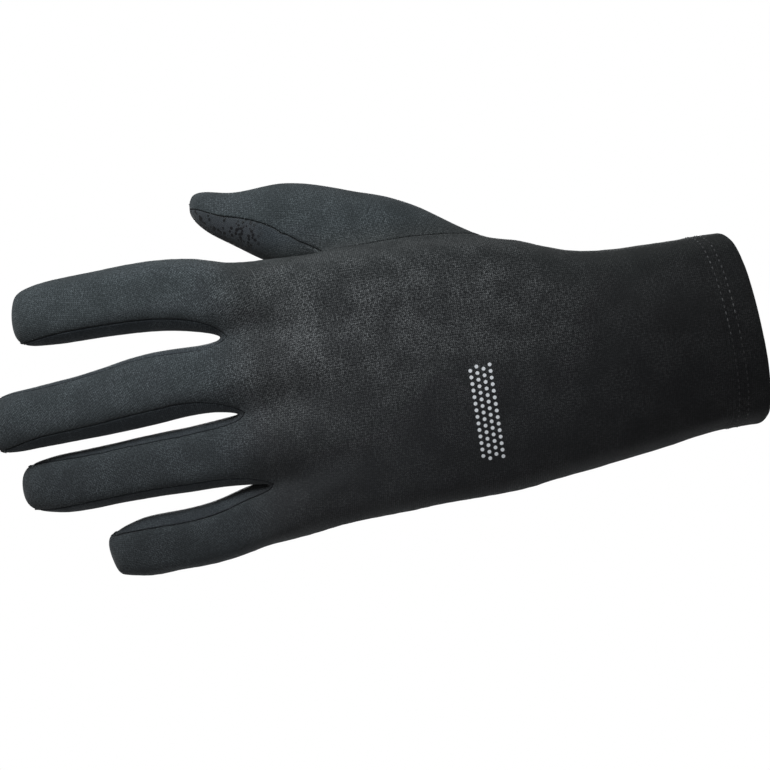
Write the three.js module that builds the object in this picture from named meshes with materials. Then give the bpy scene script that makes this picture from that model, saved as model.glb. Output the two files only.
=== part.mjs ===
// A left-hand glove liner of thin stretch jersey, in the form that it has when it is worn.
// It is sewn from a back panel, a palm panel, a thumb back, three side strips between the fingers
// and a folded hem round the cuff. Every panel is a closed wall of cloth, and the inside is hollow.
// Millimetres. The origin is the centre of the cuff's mouth, +X runs out of the cuff along the
// forearm, +Z is the thumb side and -Y is the back of the hand.

import * as THREE from "three";

// Cloth
const clothWall = 1.2;
const hemWall = 2.4; // the hem is folded double
const seamGap = 0.3; // clearance between two panels that are sewn together

// Sleeve and hand
const handLength = 170; // from the cuff's edge to the roots of the fingers
const hemDepth = 11;
const cuffWidth = 67;
const cuffDepth = 47;
const wristWidth = 74.5;
const wristDepth = 46;
const palmWidth = 93;
const palmDepth = 35;
const rootDepth = 27.5; // of the hand at the roots of the fingers
const cuffSlant = 9; // degrees, the back of the cuff reaches further than its palm side
const cuffTilt = 3.2; // degrees, the outer side of the cuff reaches further than its thumb side
const handForward = 9; // the hand's middle lies this far in front of the cuff's centre
const handSway = 2.4; // and this far towards the thumb
const thenarDepth = 9; // swell of the palm over the ball of the thumb
const heelDepth = 4; // swell of the palm below the little finger
const knuckleValley = 3; // depth of the dips between the knuckles
const seamLift = 2; // the thumb-side seam lies this far towards the palm

// Fingers. The sizes are the middle finger's.
const fingerLength = 89.5;
const fingerWidth = 23.2;
const fingerDepth = 20;

// Shares of those sizes for each finger, from the thumb side outwards. The root is wider than the
// finger by ease, a share of the width. Reach is how far the root lies past the hand's length, as a
// share of the length, and set is how far towards the palm, as a share of the depth. Blunt is how wide
// the tip's flat end is, as a share of the last section. Angles are in degrees: splay is towards the
// thumb, curl and bend are towards the palm, and twist turns the finger's back towards the thumb.
const fingerShares = [
  { name: "index", length: 0.864, width: 1.043, depth: 1, ease: 0.043, reach: -0.011, set: 0,
    splay: 5.9, curl: 3, bend: 7.5, twist: 6, blunt: 0.5 },
  { name: "middle", length: 1, width: 1, depth: 1, ease: 0.125, reach: 0.011, set: -0.025,
    splay: -2.1, curl: 3, bend: 8.5, twist: 12, blunt: 0.5 },
  { name: "ring", length: 0.964, width: 0.948, depth: 0.925, ease: 0.134, reach: -0.039, set: 0,
    splay: -0.1, curl: 4, bend: 9.5, twist: 2, blunt: 0.5 },
  { name: "little", length: 0.718, width: 0.871, depth: 0.85, ease: 0, reach: -0.1, set: 0.075,
    splay: -5, curl: 5, bend: 9.5, twist: -14, blunt: 0.65 },
];
const webShares = [0.045, 0.039, 0.025]; // how far each crotch lies past the roots beside it, as reach
const fourchetteWidth = 14; // across each side strip at the crotch
const crotchSlope = 1 / 3; // how far the edges of a crotch lie behind its middle, by half that width

// Thumb
const thumbLength = 72;
const thumbWidth = 24;
const thumbDepth = 20;
const thumbDrop = 20; // its tip lies this far towards the palm from the cuff's centre
const thumbSplay = 18; // degrees from the fingers' direction
const thumbAhead = 2; // its axis starts this far ahead of the middle of its root in the hand
const thumbOut = 5.5; // and this far out from the side of the hand

// The hand's sections, from the cuff to the roots of the fingers. Each takes shares of the named
// widths and depths; forward and sway are shares of the hand's offset, slant of the cuff's angles,
// and thenar, heel and valley of those swells and dips. Follow is how far a section keeps to the
// slant line of the fingers' roots.
const handSections = [
  { at: 0, cuff: 1, wrist: 0, palm: 0, forward: 0, sway: 0, slant: 1,
    thenar: 0, heel: 0, valley: 0, follow: 0 },
  { at: hemDepth / handLength, cuff: 1, wrist: 0, palm: 0, forward: 0.12, sway: 0, slant: 0.9,
    thenar: 0, heel: 0, valley: 0, follow: 0 },
  { at: 0.17, cuff: 0.65, wrist: 0.35, palm: 0, forward: 0.34, sway: -0.45, slant: 0.6,
    thenar: 0, heel: 0, valley: 0, follow: 0 },
  { at: 0.3, cuff: 0, wrist: 1, palm: 0, forward: 0.6, sway: -0.85, slant: 0.25,
    thenar: 0.05, heel: 0.1, valley: 0, follow: 0 },
  { at: 0.41, cuff: 0, wrist: 0.52, palm: 0.48, forward: 0.8, sway: 0.15, slant: 0,
    thenar: 0.4, heel: 0.5, valley: 0, follow: 0 },
  { at: 0.475, cuff: 0, wrist: 0.27, palm: 0.73, forward: 0.92, sway: 0.45, slant: 0,
    thenar: 0.75, heel: 0.9, valley: 0, follow: 0 },
  { at: 0.6, cuff: 0, wrist: 0.08, palm: 0.92, forward: 1, sway: 1, slant: 0,
    thenar: 1, heel: 1, valley: 0, follow: 0.1 },
  { at: 0.71, cuff: 0, wrist: 0, palm: 1, forward: 1, sway: 0.95, slant: 0,
    thenar: 1, heel: 0.9, valley: 0, follow: 0.3 },
  { at: 0.82, cuff: 0, wrist: 0, palm: 0.98, forward: 1, sway: 0.75, slant: 0,
    thenar: 0.6, heel: 0.6, valley: 0.15, follow: 0.6 },
  { at: 0.91, cuff: 0, wrist: 0, palm: 0.5, forward: 1, sway: 0.65, slant: 0,
    thenar: 0.25, heel: 0.3, valley: 0.5, follow: 0.9 },
];
const handFullness = 2.4; // 2 is an ellipse, more is squarer
const rootSway = 0.4; // share of the sway at the roots of the fingers
const sideShare = 0.9; // how far out the first and last columns of the back lie
const thenar = { centre: 0.7, spread: 0.8 }; // shares of the half width
const heel = { centre: -0.6, spread: 0.7 };

// The fingers' sections, from root to tip. Depth is a share of each finger's depth, and widths and
// offsets, one for each finger, are shares of its width. Seam is the angle, in degrees from the side
// of the finger, at which the seams of the side strips run. Turn is the share of the twist.
const fingerSections = [
  { at: 0.13, depth: 1.18, seam: 45, turn: 0.6,
    widths: [1.06, 1.02, 1.08, 1.09], offsets: [0.07, 0.035, 0.01, 0.04] },
  { at: 0.3, depth: 1.07, seam: 45, turn: 1,
    widths: [1.025, 1.065, 1.01, 1.08], offsets: [0.115, 0.05, -0.015, -0.04] },
  { at: 0.48, depth: 1, seam: 45, turn: 1,
    widths: [0.985, 1.01, 0.97, 1.045], offsets: [0.085, 0, -0.03, -0.08] },
  { at: 0.66, depth: 0.95, seam: 44, turn: 1,
    widths: [0.96, 0.945, 0.955, 1.045], offsets: [0.02, -0.035, -0.065, -0.055] },
  { at: 0.82, depth: 0.88, seam: 38, turn: 1,
    widths: [0.93, 0.91, 0.94, 1.015], offsets: [-0.03, -0.045, -0.085, -0.06] },
  { at: 0.94, depth: 0.72, seam: 14, turn: 1,
    widths: [0.815, 0.85, 0.75, 0.78], offsets: [-0.065, -0.055, -0.08, -0.07] },
];
const rootTurn = 0.2; // share of the twist at the root
const fingerFullness = 2.3;
const outerAngle = 45; // where the first column lies on a side that has no strip

// The thumb's sections, from root to tip: where the outer and inner edge of each lies along the
// thumb and out from its axis, as shares of its length and width; depth and drop are shares too,
// and turn runs from the root's seam angles to the tip's.
const thumbSections = [
  { outerAt: -0.085, outerOut: 0.49, innerAt: 0.477, innerOut: -0.72, depth: 1.32, drop: 0.45, turn: 0.42 },
  { outerAt: 0.205, outerOut: 0.535, innerAt: 0.568, innerOut: -0.69, depth: 1.22, drop: 0.56, turn: 0.7 },
  { outerAt: 0.453, outerOut: 0.545, innerAt: 0.665, innerOut: -0.605, depth: 1.12, drop: 0.68, turn: 0.88 },
  { outerAt: 0.645, outerOut: 0.425, innerAt: 0.763, innerOut: -0.505, depth: 1, drop: 0.8, turn: 1 },
  { outerAt: 0.81, outerOut: 0.24, innerAt: 0.862, innerOut: -0.405, depth: 0.85, drop: 0.9, turn: 1 },
  { outerAt: 0.95, outerOut: 0.2, innerAt: 0.945, innerOut: -0.27, depth: 0.62, drop: 0.96, turn: 1 },
];
const thumbRootAngles = [135, 180, 225, 255, 285, 315, 360, 405, 435, 465];
const thumbTipAngles = [100, 136, 172, 208, 244, 280, 316, 352, 388, 424];
const thumbTip = { outer: 0.7, inner: 0.4 }; // edges of its flat end, as shares of the last section
const thumbFullness = 2.2;
const thumbRows = { wrist: 5, crotch: 8 }; // the hand's sections between which the thumb grows out

// The surface is smoothed from a coarse net of four-sided faces, fitted to pass through its points
const fitRounds = 8;
const sharpest = 0.3; // limits how far a panel's corner is drawn back

const rad = THREE.MathUtils.degToRad;
const mix = THREE.MathUtils.lerp;

const net = { points: [], faces: [] };

function addPoint(x, y, z) {
  return net.points.push(new THREE.Vector3(x, y, z)) - 1;
}

function addFace(panel, a, b, c, d) {
  net.faces.push({ panel, corners: [a, b, c, d] });
}

// A point on an oval, from 2 for an ellipse to squarer ones
function oval(angle, fullness) {
  const across = Math.cos(rad(angle));
  const along = Math.sin(rad(angle));
  return [
    Math.sign(across) * Math.abs(across) ** (2 / fullness),
    Math.sign(along) * Math.abs(along) ** (2 / fullness),
  ];
}

function bump(place, { centre, spread }) {
  const turn = Math.abs(place - centre) / spread;
  return turn < 1 ? Math.cos((turn * Math.PI) / 2) ** 2 : 0;
}

const fingers = fingerShares.map((share) => ({
  ...share,
  length: share.length * fingerLength,
  width: share.width * fingerWidth,
  depth: share.depth * fingerDepth,
  ease: share.ease * fingerWidth,
  reach: share.reach * fingerLength,
  set: share.set * fingerDepth,
}));

// Roots of the fingers side by side, and the crotches between them
const rootWidths = fingers.map((finger) => finger.width + finger.ease);
const rootsWidth = rootWidths.reduce((total, width) => total + width, 0);
const webLines = [];
let rootEdge = rootsWidth / 2 + rootSway * handSway;
for (const [index, finger] of fingers.entries()) {
  finger.rootWidth = rootWidths[index];
  finger.rootZ = rootEdge - finger.rootWidth / 2;
  rootEdge -= finger.rootWidth;
  webLines.push(rootEdge);
}
webLines.pop();

// Places of the 13 columns across the hand, as shares of its half width: each finger takes three
const webPlaces = webLines.map((line) => (line - rootSway * handSway) / (rootsWidth / 2));
const edges = [sideShare, ...webPlaces, -sideShare];
const places = [];
for (let finger = 0; finger < fingers.length; finger += 1) {
  for (let third = 0; third < 3; third += 1) {
    places.push(mix(edges[finger], edges[finger + 1], third / 3));
  }
}
places.push(-sideShare);

// How far the roots of the fingers reach at a place across the hand
function rootLine(across) {
  const z = (across * rootsWidth) / 2;
  const beyond = fingers.findIndex((finger) => finger.rootZ < z);
  if (beyond === 0) return fingers[0].reach;
  if (beyond < 0) return fingers.at(-1).reach;
  const [near, far] = [fingers[beyond - 1], fingers[beyond]];
  return mix(near.reach, far.reach, (near.rootZ - z) / (near.rootZ - far.rootZ));
}

function handRing(section) {
  const roots = 1 - section.cuff - section.wrist - section.palm;
  const blend = (cuff, wrist, palm, root) =>
    section.cuff * cuff + section.wrist * wrist + section.palm * palm + roots * root;
  const half = blend(cuffWidth, wristWidth, palmWidth, rootsWidth) / 2;
  const depth = blend(cuffDepth, wristDepth, palmDepth, rootDepth);
  const middleY = -section.forward * handForward;
  const middleZ = section.sway * handSway;
  const leanX = Math.tan(rad(cuffSlant)) * section.slant;
  const tiltX = Math.tan(rad(cuffTilt)) * section.slant;
  const along = section.at * handLength;
  const place = (y, across) => {
    const z = across * half;
    const x = -along - section.follow * rootLine(across) - y * leanX - z * tiltX;
    return addPoint(x, middleY + y, middleZ + z);
  };
  const rounded = (across) => (1 - Math.abs(across) ** handFullness) ** (1 / handFullness);
  const back = places.map((across, column) => {
    const web = column % 3 === 0 && column > 0 && column < places.length - 1;
    const dip = web ? section.valley * knuckleValley : 0;
    return place((-depth / 2) * rounded(across) + dip, across);
  });
  const palm = places.map((across) => {
    const ball = section.thenar * thenarDepth * bump(across, thenar);
    const edge = section.heel * heelDepth * bump(across, heel);
    return place((depth / 2) * rounded(across) + ball + edge, across);
  });
  const thumbSide = place(seamLift * section.forward, 1);
  const outerSide = place(0, -1);
  return { thumbSide, back, outerSide, palm };
}

// The section of a finger at a share of its length, as a function of the angle round it
function fingerSection(finger, share, turn, width, depth, offset) {
  const along = share * finger.length;
  const fall = Math.tan(rad(finger.curl)) + 2 * Math.tan(rad(finger.bend)) * share;
  const splay = rad(finger.splay);
  const ahead = new THREE.Vector3(-Math.cos(splay), fall, Math.sin(splay)).normalize();
  const side = new THREE.Vector3(Math.sin(splay), 0, Math.cos(splay));
  const back = new THREE.Vector3().crossVectors(side, ahead);
  side.applyAxisAngle(ahead, rad(finger.twist * turn));
  back.applyAxisAngle(ahead, rad(finger.twist * turn));
  const curve = Math.tan(rad(finger.curl)) * share + Math.tan(rad(finger.bend)) * share ** 2;
  const centre = new THREE.Vector3(
    -handLength - finger.reach - along * Math.cos(splay) + offset * Math.sin(splay),
    -handForward + finger.set + finger.length * curve,
    finger.rootZ + along * Math.sin(splay) + offset * Math.cos(splay),
  );
  return (angle, scale = 1) => {
    const [across, out] = oval(angle, fingerFullness);
    return centre
      .clone()
      .addScaledVector(side, (across * width * scale) / 2)
      .addScaledVector(back, (out * depth * scale) / 2);
  };
}

function addVector({ x, y, z }) {
  return addPoint(x, y, z);
}

function stripAfter(index) {
  return `fourchette_${fingers[index].name}_${fingers[index + 1].name}`;
}

// Angles of a finger's ten columns: thumb side, four of the back, outer side, four of the palm
function columnAngles(near, far) {
  const back = [near, 90 - (90 - near) / 3, 90 + (90 - far) / 3, 180 - far];
  return [0, ...back, 180, ...back.map((angle) => 360 - angle).reverse()];
}

// A tube from ring to ring, closed by a tip. Panels names what each of its ten columns is cut from.
function addTube(rings, tip, panels) {
  for (let row = 0; row + 1 < rings.length; row += 1) {
    for (let column = 0; column < panels.length; column += 1) {
      const next = (column + 1) % panels.length;
      const [here, ahead] = [rings[row], rings[row + 1]];
      addFace(panels[column], here[column], ahead[column], ahead[next], here[next]);
    }
  }
  const end = rings.at(-1);
  const [near, far] = tip;
  addFace(panels[2], near, end[2], end[1], end[0]);
  addFace(panels[2], far, end[3], end[2], near);
  addFace(panels[2], end[5], end[4], end[3], far);
  addFace(panels[7], far, end[7], end[6], end[5]);
  addFace(panels[7], near, end[8], end[7], far);
  addFace(panels[7], end[0], end[9], end[8], near);
}

// Hand
const handRings = handSections.map(handRing);

function addHand() {
  const roots = addRoots();
  const rings = [...handRings, roots];
  const loop = (ring) => [ring.thumbSide, ...ring.back, ring.outerSide, ...ring.palm.toReversed()];
  const size = loop(roots).length;
  for (let row = 0; row + 1 < rings.length; row += 1) {
    const [here, ahead] = [loop(rings[row]), loop(rings[row + 1])];
    for (let column = 0; column < size; column += 1) {
      const next = (column + 1) % size;
      const isThumb = row >= thumbRows.wrist && row < thumbRows.crotch && column >= size - 2;
      if (isThumb) continue;
      const side = column < size / 2 ? "back_panel" : "palm_panel";
      addFace(row === 0 ? "cuff_hem" : side, here[column], ahead[column], ahead[next], here[next]);
    }
  }
  return roots;
}

// The last ring of the hand runs over the roots of the fingers and dips into each crotch
function addRoots() {
  const back = [];
  const palm = [];
  const webs = [];
  let thumbSide;
  let outerSide;
  for (const [index, finger] of fingers.entries()) {
    const section = fingerSection(finger, 0, rootTurn, finger.rootWidth, rootDepth, 0);
    const angles = columnAngles(outerAngle, outerAngle);
    const [side, near, first, second, far, other] = angles;
    if (index === 0) {
      thumbSide = addVector(section(side));
      back.push(addVector(section(near)));
      palm.push(addVector(section(-near)));
    }
    back.push(addVector(section(first)), addVector(section(second)));
    palm.push(addVector(section(-first)), addVector(section(-second)));
    if (index === fingers.length - 1) {
      outerSide = addVector(section(other));
      back.push(addVector(section(far)));
      palm.push(addVector(section(-far)));
      break;
    }
    const beside = fingers[index + 1];
    const x = -handLength - (finger.reach + beside.reach) / 2 - webShares[index] * fingerLength;
    const y = -handForward + (finger.set + beside.set) / 2;
    const z = webLines[index];
    const half = fourchetteWidth / 2;
    webs.push(addPoint(x, y, z));
    back.push(addPoint(x + half * crotchSlope, y - half, z));
    palm.push(addPoint(x + half * crotchSlope, y + half, z));
  }
  return { thumbSide, back, outerSide, palm, webs };
}

function addFinger(index, roots) {
  const finger = fingers[index];
  const first = index === 0;
  const last = index === fingers.length - 1;
  const column = index * 3;
  const rings = [
    [
      first ? roots.thumbSide : roots.webs[index - 1],
      ...roots.back.slice(column, column + 4),
      last ? roots.outerSide : roots.webs[index],
      ...roots.palm.slice(column, column + 4).reverse(),
    ],
  ];
  for (const { at, depth, seam, turn, widths, offsets } of fingerSections) {
    const width = widths[index] * finger.width;
    const offset = offsets[index] * finger.width;
    const section = fingerSection(finger, at, turn, width, depth * finger.depth, offset);
    const angles = columnAngles(first ? outerAngle : seam, last ? outerAngle : seam);
    rings.push(angles.map((angle) => addVector(section(angle))));
  }
  const { widths, offsets } = fingerSections.at(-1);
  const endWidth = widths[index] * finger.width;
  const end = fingerSection(finger, 1, 1, endWidth, finger.depth, offsets[index] * finger.width);
  const tip = [addVector(end(0, finger.blunt)), addVector(end(180, finger.blunt))];
  const [back, palm] = ["back_panel", "palm_panel"];
  const [nearBack, nearPalm] = first ? [back, palm] : [stripAfter(index - 1), stripAfter(index - 1)];
  const [farBack, farPalm] = last ? [back, palm] : [stripAfter(index), stripAfter(index)];
  addTube(rings, tip, [nearBack, back, back, back, farBack, farPalm, palm, palm, palm, nearPalm]);
}

const thumbRootAt = (handSections[thumbRows.wrist].at + handSections[thumbRows.crotch].at) / 2;
const thumbRootX = -thumbRootAt * handLength - thumbAhead;

function thumbSection({ outerAt, outerOut, innerAt, innerOut, depth, drop }) {
  const splay = rad(thumbSplay);
  const place = (at, out) =>
    new THREE.Vector3(
      thumbRootX - at * thumbLength * Math.cos(splay) + out * thumbWidth * Math.sin(splay),
      0,
      palmWidth / 2 + thumbOut + at * thumbLength * Math.sin(splay) + out * thumbWidth * Math.cos(splay),
    );
  const outer = place(outerAt, outerOut);
  const inner = place(innerAt, innerOut);
  const centre = outer.clone().add(inner).divideScalar(2).setY(drop * thumbDrop);
  const arm = outer.sub(inner).divideScalar(2);
  return (angle) => {
    const [up, front] = oval(angle, thumbFullness);
    return centre
      .clone()
      .addScaledVector(arm, up)
      .add(new THREE.Vector3(0, (-front * depth * thumbDepth) / 2, 0));
  };
}

function addThumb() {
  const { wrist, crotch } = thumbRows;
  const up = handRings.slice(wrist, crotch + 1);
  const [start, ...others] = up.toReversed();
  const end = up[0];
  const rings = [
    [
      start.thumbSide,
      start.palm[0],
      start.palm[1],
      ...others.map((ring) => ring.palm[1]),
      end.palm[0],
      ...up.slice(0, -1).map((ring) => ring.thumbSide),
    ],
  ];
  for (const row of thumbSections) {
    const section = thumbSection(row);
    const angles = thumbRootAngles.map((angle, column) => mix(angle, thumbTipAngles[column], row.turn));
    rings.push(angles.map((angle) => addVector(section(angle))));
  }
  const lastRow = thumbSections.at(-1);
  const flat = thumbSection({
    ...lastRow,
    outerAt: 1,
    innerAt: 1,
    outerOut: mix(lastRow.innerOut, lastRow.outerOut, thumbTip.outer),
    innerOut: mix(lastRow.innerOut, lastRow.outerOut, thumbTip.inner),
    drop: 1,
  });
  const tip = [addVector(flat(180)), addVector(flat(0))];
  const [palm, back] = ["palm_panel", "thumb_back"];
  addTube(rings, tip, [palm, palm, palm, palm, palm, back, back, back, back, back]);
}

// Smoothing of the net
function linksOf(faces) {
  const twins = new Set();
  for (const { corners } of faces) {
    corners.forEach((corner, index) => twins.add(`${corner},${corners[(index + 1) % 4]}`));
  }
  return (from, to) => twins.has(`${to},${from}`);
}

// Where the smooth surface passes for each point of the net
function limitOf(points, faces) {
  const hasTwin = linksOf(faces);
  const zero = () => new THREE.Vector3();
  const near = points.map(zero);
  const across = points.map(zero);
  const rim = points.map(zero);
  const count = points.map(() => 0);
  const open = points.map(() => false);
  for (const { corners } of faces) {
    corners.forEach((corner, index) => {
      const [next, opposite, before] = [1, 2, 3].map((step) => corners[(index + step) % 4]);
      count[corner] += 1;
      near[corner].addScaledVector(points[next], 0.5).addScaledVector(points[before], 0.5);
      across[corner].add(points[opposite]);
      if (hasTwin(corner, next)) return;
      open[corner] = true;
      open[next] = true;
      rim[corner].add(points[next]);
      rim[next].add(points[corner]);
    });
  }
  return points.map((point, index) => {
    if (open[index]) return point.clone().multiplyScalar(4).add(rim[index]).divideScalar(6);
    const n = count[index];
    return point
      .clone()
      .multiplyScalar(n * n)
      .addScaledVector(near[index], 4)
      .add(across[index])
      .divideScalar(n * (n + 5));
  });
}

// The net is moved until its smooth surface passes through the wanted points
function fitNet({ points, faces }) {
  const fitted = points.map((point) => point.clone());
  for (let round = 0; round < fitRounds; round += 1) {
    const reached = limitOf(fitted, faces);
    fitted.forEach((point, index) => point.add(points[index]).sub(reached[index]));
  }
  return { points: fitted, faces };
}

// One step of smooth division: every face becomes four
function divide({ points, faces }) {
  const hasTwin = linksOf(faces);
  const zero = () => new THREE.Vector3();
  const centres = faces.map(({ corners }) => {
    const centre = zero();
    corners.forEach((corner) => centre.add(points[corner]));
    return centre.divideScalar(4);
  });
  const middles = new Map();
  const key = (a, b) => (a < b ? `${a},${b}` : `${b},${a}`);
  faces.forEach(({ corners }, face) => {
    corners.forEach((corner, index) => {
      const next = corners[(index + 1) % 4];
      const name = key(corner, next);
      if (!middles.has(name)) {
        const middle = points[corner].clone().add(points[next]).divideScalar(2);
        middles.set(name, { ends: [corner, next], middle, centres: [], open: !hasTwin(corner, next) });
      }
      middles.get(name).centres.push(centres[face]);
    });
  });
  const count = points.map(() => 0);
  const faceSum = points.map(zero);
  const edgeSum = points.map(zero);
  const edgeCount = points.map(() => 0);
  const rim = points.map(() => null);
  faces.forEach(({ corners }, face) => {
    corners.forEach((corner) => {
      count[corner] += 1;
      faceSum[corner].add(centres[face]);
    });
  });
  for (const { ends, middle, open } of middles.values()) {
    for (const end of ends) {
      edgeSum[end].add(middle);
      edgeCount[end] += 1;
      if (open) rim[end] = (rim[end] ?? zero()).add(middle);
    }
  }
  const moved = points.map((point, index) => {
    if (rim[index]) return point.clone().multiplyScalar(2).add(rim[index]).divideScalar(4);
    const n = count[index];
    return faceSum[index]
      .clone()
      .divideScalar(n)
      .addScaledVector(edgeSum[index], 2 / edgeCount[index])
      .addScaledVector(point, n - 3)
      .divideScalar(n);
  });
  const centreStart = moved.length;
  const all = [...moved, ...centres];
  for (const edge of middles.values()) {
    const place = edge.middle.clone();
    if (!edge.open) {
      place.add(edge.centres[0].clone().add(edge.centres[1]).divideScalar(2)).divideScalar(2);
    }
    edge.index = all.push(place) - 1;
  }
  const divided = faces.flatMap(({ panel, corners }, face) =>
    corners.map((corner, index) => {
      const next = middles.get(key(corner, corners[(index + 1) % 4])).index;
      const before = middles.get(key(corner, corners[(index + 3) % 4])).index;
      return { panel, corners: [corner, next, centreStart + face, before] };
    }),
  );
  return { points: all, faces: divided };
}

function normalsOf(points, faces) {
  const normals = points.map(() => new THREE.Vector3());
  for (const { corners } of faces) {
    const [a, b, c, d] = corners.map((corner) => points[corner]);
    const normal = c.clone().sub(a).cross(d.clone().sub(b));
    corners.forEach((corner) => normals[corner].add(normal));
  }
  return normals.map((normal) => normal.normalize());
}

// One panel of cloth: its outer skin is drawn back from its seams by half the gap, and its wall
// is as thick as the cloth
function panelGeometry(name, wall, { points, faces }, normals, isOpen) {
  const own = faces.filter(({ panel }) => panel === name);
  const hasTwin = linksOf(own);
  const seam = [];
  for (const { corners } of own) {
    corners.forEach((corner, index) => {
      const next = corners[(index + 1) % 4];
      if (!hasTwin(corner, next)) seam.push([corner, next]);
    });
  }
  const inward = new Map();
  for (const [from, to] of seam) {
    const along = points[to].clone().sub(points[from]).normalize();
    for (const end of [from, to]) {
      const into = new THREE.Vector3();
      if (!isOpen(from, to)) into.crossVectors(normals[end], along).normalize();
      inward.set(end, [...(inward.get(end) ?? []), into]);
    }
  }
  const positions = [];
  const indexOf = new Map();
  const skin = (corner) => {
    if (indexOf.has(corner)) return indexOf.get(corner);
    const outer = points[corner].clone();
    const sides = inward.get(corner);
    if (sides) {
      const spread = Math.max(1 + sides[0].dot(sides[1]), sharpest);
      outer.addScaledVector(sides[0].clone().add(sides[1]), seamGap / 2 / spread);
    }
    const inner = outer.clone().addScaledVector(normals[corner], -wall);
    indexOf.set(corner, positions.length / 3);
    positions.push(...outer.toArray(), ...inner.toArray());
    return indexOf.get(corner);
  };
  const triangles = [];
  const addQuad = (a, b, c, d, split) => {
    if (split) triangles.push(a, b, c, a, c, d);
    else triangles.push(a, b, d, b, c, d);
  };
  for (const { corners } of own) {
    const [a, b, c, d] = corners.map(skin);
    const [pa, pb, pc, pd] = corners.map((corner) => points[corner]);
    const split = pa.distanceTo(pc) < pb.distanceTo(pd);
    addQuad(a, b, c, d, split);
    addQuad(d + 1, c + 1, b + 1, a + 1, split);
  }
  for (const [from, to] of seam) {
    const [a, b] = [skin(from), skin(to)];
    addQuad(b, a, a + 1, b + 1, to < from); // both panels of a seam split its wall the same way
  }
  const geometry = new THREE.BufferGeometry();
  geometry.setAttribute("position", new THREE.Float32BufferAttribute(positions, 3));
  geometry.setIndex(triangles);
  geometry.computeVertexNormals();
  return geometry;
}

const roots = addHand();
fingers.forEach((finger, index) => addFinger(index, roots));
addThumb();

const fine = divide(fitNet(net));
const surface = { points: limitOf(fine.points, fine.faces), faces: fine.faces };
const normals = normalsOf(surface.points, surface.faces);
const hasTwin = linksOf(surface.faces);
const isOpen = (from, to) => !hasTwin(from, to);

const panels = [
  { name: "back_panel", wall: clothWall, color: 0x23262a },
  { name: "palm_panel", wall: clothWall, color: 0x1f2225 },
  { name: "thumb_back", wall: clothWall, color: 0x23262a },
  { name: "fourchette_index_middle", wall: clothWall, color: 0x1d2023 },
  { name: "fourchette_middle_ring", wall: clothWall, color: 0x1d2023 },
  { name: "fourchette_ring_little", wall: clothWall, color: 0x1d2023 },
  { name: "cuff_hem", wall: hemWall, color: 0x202326 },
];

const group = new THREE.Group();
for (const { name, wall, color } of panels) {
  const material = new THREE.MeshStandardMaterial({ color, roughness: 0.92, metalness: 0 });
  const mesh = new THREE.Mesh(panelGeometry(name, wall, surface, normals, isOpen), material);
  mesh.name = name;
  group.add(mesh);
}

export default group;
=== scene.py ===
"""Looks of a left-hand glove liner: stretch jersey panels, their seams, and the stitched cuff.

Metres. +X runs out of the cuff, +Z is the thumb side and -Y is the back of the hand.
"""

import cmath
import math

import bmesh
import bpy
from mathutils import Matrix, Vector, noise
from mathutils.bvhtree import BVHTree
from mathutils.kdtree import KDTree


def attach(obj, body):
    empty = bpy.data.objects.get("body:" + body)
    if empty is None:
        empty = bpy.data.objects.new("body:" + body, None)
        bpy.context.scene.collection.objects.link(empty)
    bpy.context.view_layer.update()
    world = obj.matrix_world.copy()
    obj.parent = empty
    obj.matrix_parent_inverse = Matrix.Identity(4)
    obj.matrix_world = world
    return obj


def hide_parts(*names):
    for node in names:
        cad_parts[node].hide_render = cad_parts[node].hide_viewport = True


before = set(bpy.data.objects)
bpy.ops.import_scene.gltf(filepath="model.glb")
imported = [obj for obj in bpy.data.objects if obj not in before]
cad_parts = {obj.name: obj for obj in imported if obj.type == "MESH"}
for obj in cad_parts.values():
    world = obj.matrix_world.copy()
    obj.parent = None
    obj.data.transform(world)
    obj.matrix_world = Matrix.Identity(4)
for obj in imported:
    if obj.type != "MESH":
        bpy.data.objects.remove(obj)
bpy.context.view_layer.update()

MM = 0.001
RIM_SLACK = 0.005 * MM
RAY_START = 0.3 * MM  # in front of a face, clear of its own bend

# The nodes' walls, and the number that each panel's faces carry
PANELS = {
    "back_panel": {"wall": 1.2 * MM, "number": 0},
    "palm_panel": {"wall": 1.2 * MM, "number": 1},
    "thumb_back": {"wall": 1.2 * MM, "number": 2},
    "fourchette_index_middle": {"wall": 1.2 * MM, "number": 3},
    "fourchette_middle_ring": {"wall": 1.2 * MM, "number": 4},
    "fourchette_ring_little": {"wall": 1.2 * MM, "number": 5},
    "cuff_hem": {"wall": 2.4 * MM, "number": 6},
}
HEM_BACK, HEM_PALM = 6, 7
SAME_CLOTH = ({0, HEM_BACK}, {1, HEM_PALM})  # the hem is cut in one with the panels

CLOTH = 0.9 * MM
SEAM_REACH = 0.45 * MM  # welds two panels across the gap of their seam
CORNER_REACH = 1.3 * MM  # and then the panels' sharp corners
SEAM_ROLL = 0.4 * MM  # width of the turned edge along a seam
SEAM_SINK = 0.3 * MM
SEAM_OPEN = 0.16  # share of the roll that the edge is drawn back
SHRINK = 0.15 * MM  # lost by smoothing the coarse net
SMOOTH_LEVELS = 2
WELD = 0.01 * MM  # joins a node's triangles at their shared corners
PALM_FROM = -0.4 * MM  # the hem's cloth on the palm's side of this y belongs to the palm
UNWRAP_STEPS = 24
SHARP_CORNER = 1.6  # a corner's way in, in seam rolls, from which it counts as sharp
CORNER_OPEN = 0.5
SEAM_FADE = 2.4 * MM  # how soon the pucker by a seam dies away
RIPPLES = {"slow": 0.3, "middle": 0.12, "small": 0.03, "pucker": 0.2}  # heights in mm

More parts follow.
